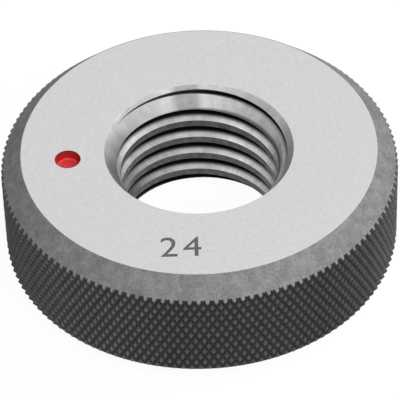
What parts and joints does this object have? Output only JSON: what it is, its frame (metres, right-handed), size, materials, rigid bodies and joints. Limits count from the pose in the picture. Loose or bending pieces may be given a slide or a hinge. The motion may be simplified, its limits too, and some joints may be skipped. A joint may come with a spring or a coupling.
{
  "type": "thread ring gauge",
  "caption": "Flat round steel thread ring gauge: a threaded bore with tapered mouths, ground faces, a chamfered and diamond-knurled rim, and a red not-go mark sunk in one face.",
  "frame": {"origin": "on the bore axis, in the plane of the face that the gauge lies on", "axes": "+Z along the bore axis, out of the marked face; -X towards the red mark"},
  "size_m": [0.053, 0.053, 0.0174],
  "materials": {
    "gauge_steel": "faces finely ground to a satin light grey, rim and chamfers blackened, mark recess filled with red enamel"
  },
  "bodies": {
    "root": {"ring_gauge": "gauge_steel"}
  },
  "joints": []
}
